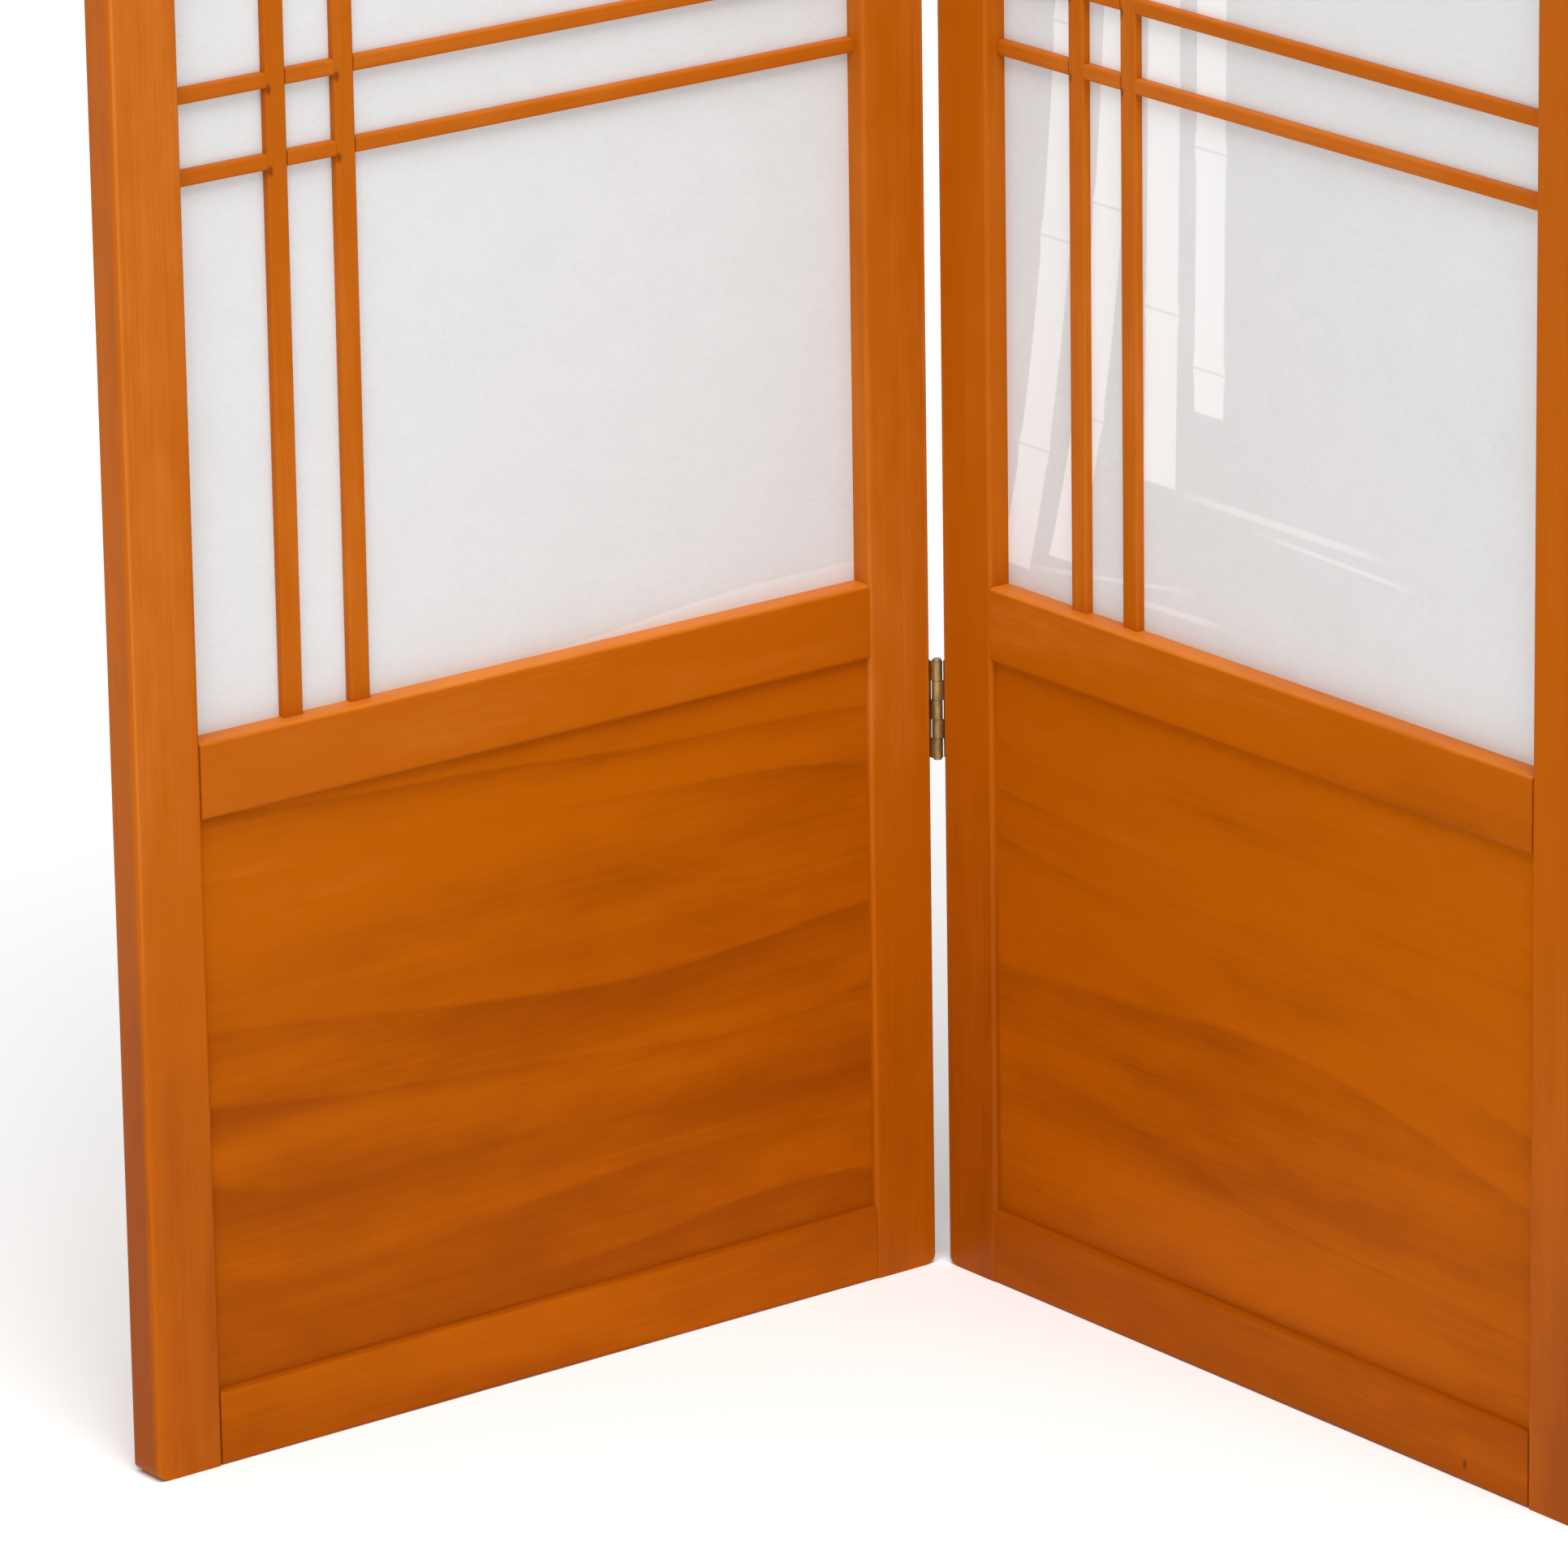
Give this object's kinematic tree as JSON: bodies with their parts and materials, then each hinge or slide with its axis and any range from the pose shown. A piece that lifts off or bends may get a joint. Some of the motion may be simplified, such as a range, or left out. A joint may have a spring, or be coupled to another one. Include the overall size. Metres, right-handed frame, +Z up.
{
  "type": "folding shoji screen panel pair",
  "caption": "Pair of hinged folding screen panels: honey-stained wooden frames with a solid kick board below and a white paper window with slim crossed lattice bars above.",
  "frame": {"origin": "on the floor, centre of the box round the standing pair", "axes": "+Z up; -Y towards the viewer in front, where the free edges of the V point; +X to the viewer's right; the hinge line is at x = 0 near the back"},
  "size_m": [0.65, 0.3214, 1.784],
  "materials": {
    "frame_wood": "satin honey-orange lacquer over fine straight grain, running along each member",
    "board_wood": "satin honey-orange lacquer over faint wavy grain running across the board",
    "lattice_wood": "satin honey-orange lacquer on slim bars",
    "bead_wood": "satin honey-orange lacquer",
    "paper": "matt white laminated paper with a faint fibre texture and white-on-white bamboo stems",
    "dowel_wood": "bare beech",
    "hinge_brass": "dull yellow brass",
    "pin_brass": "dull yellow brass",
    "screw_brass": "dull yellow brass, slotted heads"
  },
  "bodies": {
    "left_panel": {"left_outer_stile": "frame_wood", "left_hinge_stile": "frame_wood", "left_bottom_rail": "frame_wood", "left_middle_rail": "frame_wood", "left_top_rail": "frame_wood", "left_kick_board": "board_wood", "left_paper_sheet": "paper", "left_lattice_upright_1": "lattice_wood", "left_lattice_upright_2": "lattice_wood", "left_lattice_crossbar_1": "lattice_wood", "left_lattice_crossbar_2": "lattice_wood", "left_lattice_crossbar_3": "lattice_wood", "left_lattice_crossbar_4": "lattice_wood", "left_bead_outer": "bead_wood", "left_bead_hinge": "bead_wood", "left_bead_bottom": "bead_wood", "left_bead_top": "bead_wood", "left_frame_dowels": "dowel_wood", "left_hinge_screws": "screw_brass", "low_hinge_left_leaf": "hinge_brass", "low_hinge_pin": "pin_brass", "middle_hinge_left_leaf": "hinge_brass", "middle_hinge_pin": "pin_brass", "high_hinge_left_leaf": "hinge_brass", "high_hinge_pin": "pin_brass"},
    "right_panel": {"right_outer_stile": "frame_wood", "right_hinge_stile": "frame_wood", "right_bottom_rail": "frame_wood", "right_middle_rail": "frame_wood", "right_top_rail": "frame_wood", "right_kick_board": "board_wood", "right_paper_sheet": "paper", "right_lattice_upright_1": "lattice_wood", "right_lattice_upright_2": "lattice_wood", "right_lattice_crossbar_1": "lattice_wood", "right_lattice_crossbar_2": "lattice_wood", "right_lattice_crossbar_3": "lattice_wood", "right_lattice_crossbar_4": "lattice_wood", "right_bead_outer": "bead_wood", "right_bead_hinge": "bead_wood", "right_bead_bottom": "bead_wood", "right_bead_top": "bead_wood", "right_frame_dowels": "dowel_wood", "right_hinge_screws": "screw_brass", "low_hinge_right_leaf": "hinge_brass", "middle_hinge_right_leaf": "hinge_brass", "high_hinge_right_leaf": "hinge_brass"}
  },
  "joints": [
    {"name": "panel_fold", "type": "hinge", "parent": "left_panel", "child": "right_panel", "pos_m": [0, 0.14955, 0.268], "axis": [0, 0, 1], "range_deg": [-90, 90]}
  ]
}
